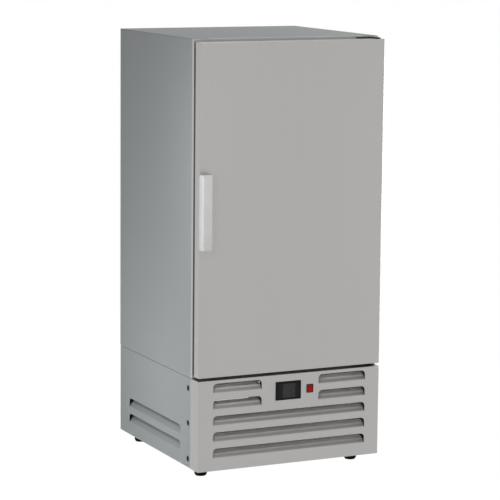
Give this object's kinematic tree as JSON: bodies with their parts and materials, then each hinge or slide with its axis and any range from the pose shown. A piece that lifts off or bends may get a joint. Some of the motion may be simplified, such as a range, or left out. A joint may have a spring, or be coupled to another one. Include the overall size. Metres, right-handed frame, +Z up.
{
  "type": "blast chiller",
  "caption": "Upright stainless blast chiller with a hinged full-width door, tray racks, fan-blown evaporator, louvred base with controls and a refrigeration unit, on levelling feet.",
  "frame": {"origin": "on the floor under the middle of the whole machine's box, handle included", "axes": "+X to the right as seen from the front, +Y from the door to the back, +Z up"},
  "size_m": [0.7, 0.729, 1.514],
  "materials": {
    "front_steel": "satin stainless steel",
    "side_steel": "satin stainless steel",
    "liner_steel": "bright stainless steel",
    "zinc_sheet": "zinc-coated steel sheet",
    "dark_steel": "dark coated steel",
    "foam": "rigid polyurethane foam",
    "grey_plastic": "moulded dark grey plastic",
    "black_plastic": "moulded black plastic",
    "window_plastic": "smoked window",
    "red_plastic": "moulded red plastic",
    "handle_plastic": "moulded pale grey plastic",
    "seal_rubber": "soft grey gasket",
    "black_rubber": "black rubber",
    "black_paint": "black painted steel",
    "fin_aluminium": "bare aluminium fins",
    "copper": "bright copper"
  },
  "bodies": {
    "cabinet": {"side_panel_left": "side_steel", "side_panel_right": "side_steel", "top_panel": "side_steel", "back_panel": "zinc_sheet", "cabinet_deck": "zinc_sheet", "frame_stile_left": "front_steel", "frame_stile_right": "front_steel", "frame_rail_top": "front_steel", "frame_rail_bottom": "front_steel", "insulation": "foam", "liner_left": "liner_steel", "liner_right": "liner_steel", "liner_ceiling": "liner_steel", "liner_back": "liner_steel", "liner_floor": "liner_steel", "drain_pipe": "grey_plastic", "rack_left": "liner_steel", "rack_right": "liner_steel", "evaporator_cover": "liner_steel", "evaporator_coil": "fin_aluminium", "fan_guard_lower": "black_paint", "fan_motor_lower": "black_paint", "fan_guard_upper": "black_paint", "fan_motor_upper": "black_paint", "base_pan": "zinc_sheet", "base_front_cover": "front_steel", "base_side_left": "side_steel", "base_side_right": "side_steel", "base_back": "zinc_sheet", "cable_gland": "black_plastic", "controller_body": "black_plastic", "controller_window": "window_plastic", "switch_housing": "black_plastic", "compressor": "black_paint", "compressor_terminal_cover": "black_plastic", "condenser_coil": "fin_aluminium", "condenser_shroud": "zinc_sheet", "condenser_fan_motor": "black_paint", "electric_box": "grey_plastic", "condensate_tray": "grey_plastic", "liquid_line": "copper", "discharge_pipe": "copper", "suction_pipe": "copper", "hinge_bracket_top": "dark_steel", "hinge_bracket_bottom": "dark_steel"},
    "door": {"door_skin": "front_steel", "door_foam": "foam", "door_liner": "liner_steel", "door_seal": "seal_rubber", "handle_grip": "handle_plastic", "handle_cap_top": "handle_plastic", "handle_cap_bottom": "handle_plastic"},
    "rocker": {"switch_rocker": "red_plastic"},
    "fan_lower": {"fan_blade_lower": "grey_plastic"},
    "fan_upper": {"fan_blade_upper": "grey_plastic"},
    "condenser_fan": {"condenser_fan_blade": "grey_plastic"},
    "foot_fl": {"foot_front_left": "black_rubber"},
    "foot_fr": {"foot_front_right": "black_rubber"},
    "foot_bl": {"foot_back_left": "black_rubber"},
    "foot_br": {"foot_back_right": "black_rubber"}
  },
  "joints": [
    {"name": "door_hinge", "type": "hinge", "parent": "cabinet", "child": "door", "pos_m": [0.328, -0.3215, 0.93], "axis": [0, 0, 1], "range_deg": [0, 115]},
    {"name": "switch_tilt", "type": "hinge", "parent": "cabinet", "child": "rocker", "pos_m": [0.0764, -0.3325, 0.2959], "axis": [1, 0, 0], "range_deg": [0, 14]},
    {"name": "fan_lower_spin", "type": "hinge", "parent": "cabinet", "child": "fan_lower", "pos_m": [0, 0.1845, 0.716], "axis": [0, 1, 0], "continuous": true},
    {"name": "fan_upper_spin", "type": "hinge", "parent": "cabinet", "child": "fan_upper", "pos_m": [0, 0.1845, 1.156], "axis": [0, 1, 0], "continuous": true},
    {"name": "condenser_fan_spin", "type": "hinge", "parent": "cabinet", "child": "condenser_fan", "pos_m": [-0.112, -0.1735, 0.154], "axis": [0, 1, 0], "continuous": true},
    {"name": "foot_fl_turn", "type": "hinge", "parent": "cabinet", "child": "foot_fl", "pos_m": [-0.2935, -0.2345, 0.02], "axis": [0, 0, 1], "continuous": true},
    {"name": "foot_fr_turn", "type": "hinge", "parent": "cabinet", "child": "foot_fr", "pos_m": [0.2935, -0.2345, 0.02], "axis": [0, 0, 1], "continuous": true},
    {"name": "foot_bl_turn", "type": "hinge", "parent": "cabinet", "child": "foot_bl", "pos_m": [-0.2935, 0.3045, 0.02], "axis": [0, 0, 1], "continuous": true},
    {"name": "foot_br_turn", "type": "hinge", "parent": "cabinet", "child": "foot_br", "pos_m": [0.2935, 0.3045, 0.02], "axis": [0, 0, 1], "continuous": true}
  ]
}
